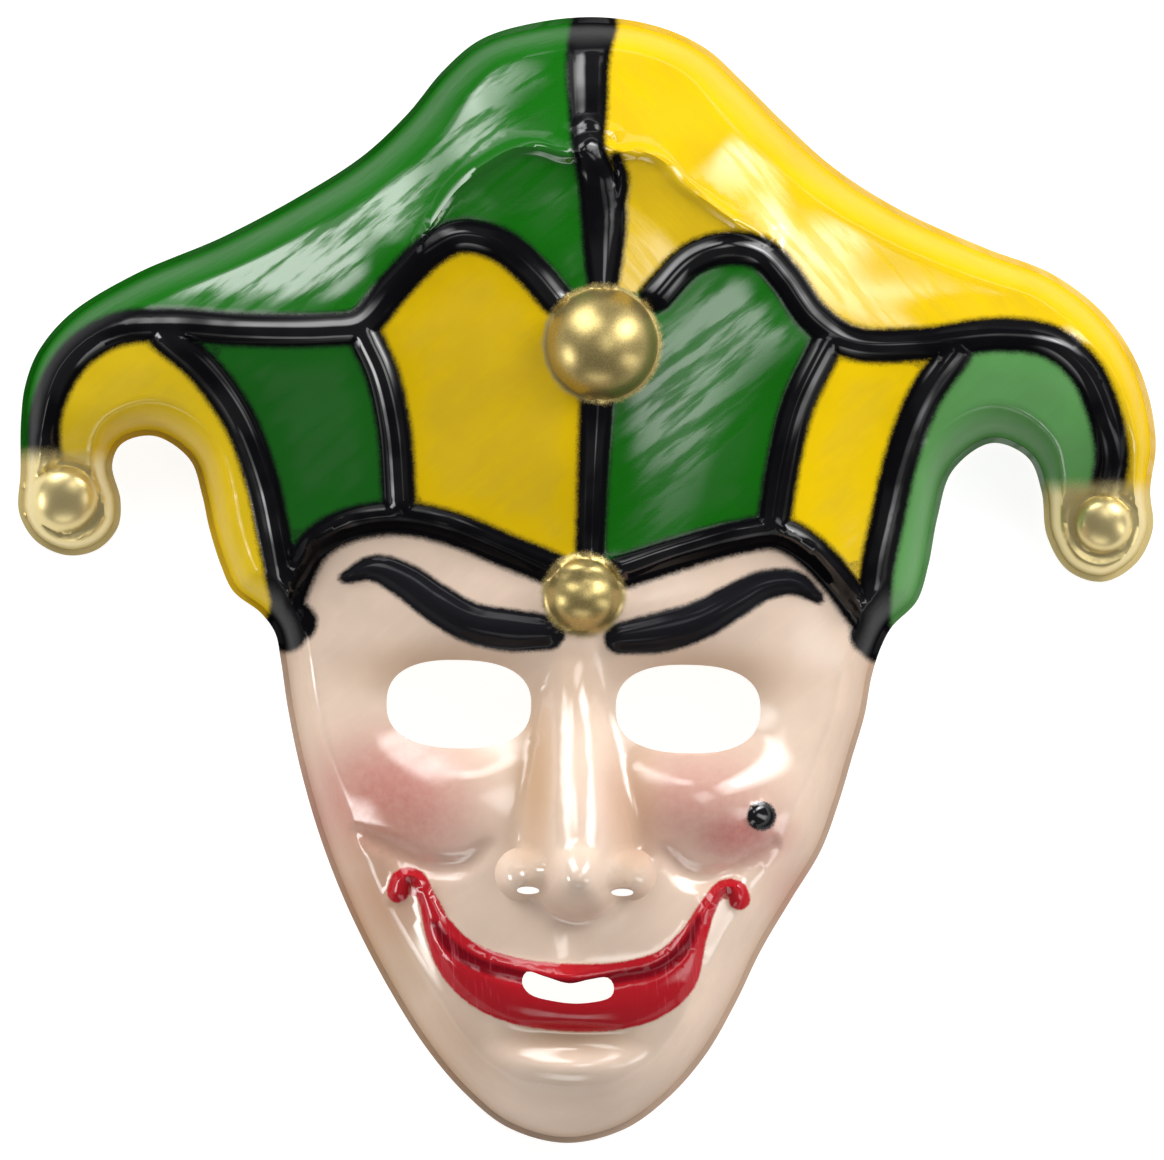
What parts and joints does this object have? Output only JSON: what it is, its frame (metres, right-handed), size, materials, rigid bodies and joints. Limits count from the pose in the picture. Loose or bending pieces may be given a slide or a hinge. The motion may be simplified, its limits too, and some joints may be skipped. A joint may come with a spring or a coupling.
{
  "type": "jester mask",
  "caption": "Carnival mask formed from one glossy plastic sheet: a grinning jester's face under a drooping horned cap with raised piping and moulded bells, eye and mouth holes cut through.",
  "frame": {"origin": "on the surface that the rim rests on, under the middle of the mask's outline", "axes": "+X to the viewer's right across the horns, +Y up the face to the top of the cap, +Z out of the face; the mask lies face up on its rim"},
  "size_m": [0.3249, 0.322, 0.0793],
  "materials": {
    "painted_plastic": "glossy formed plastic, skin-coloured face, cap sprayed green and yellow with black piping and gold bells, bare inside"
  },
  "bodies": {
    "root": {"mask_shell": "painted_plastic"}
  },
  "joints": []
}
